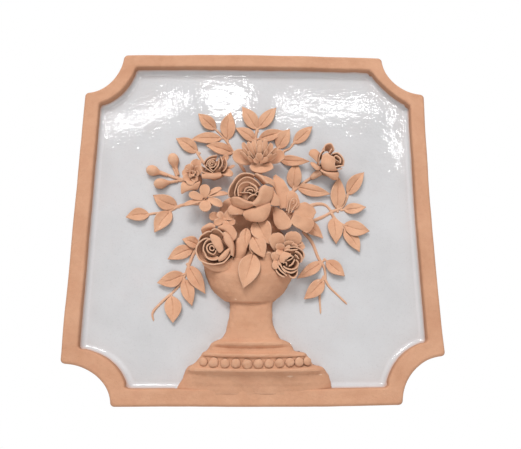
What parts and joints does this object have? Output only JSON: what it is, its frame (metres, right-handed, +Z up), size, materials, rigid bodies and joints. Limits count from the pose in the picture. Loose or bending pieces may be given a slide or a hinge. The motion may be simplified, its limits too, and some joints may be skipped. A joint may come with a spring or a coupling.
{
  "type": "decorative wall plaque",
  "caption": "Square fired-clay wall plaque with notched corners, a raised rim, a sunk glazed ground, and an urn of hand-modelled flowers in high relief.",
  "frame": {"origin": "centre of the flat back face, where the plaque lies on the wall", "axes": "+Z up, +X to the right as seen from the front, the flowers face -Y and +Y goes into the wall"},
  "size_m": [0.2999, 0.0401, 0.3],
  "materials": {
    "plaque": "bare fired clay, dry and matt, with a glossy pale glaze over the sunk ground only"
  },
  "bodies": {
    "root": {"plaque": "plaque"}
  },
  "joints": []
}
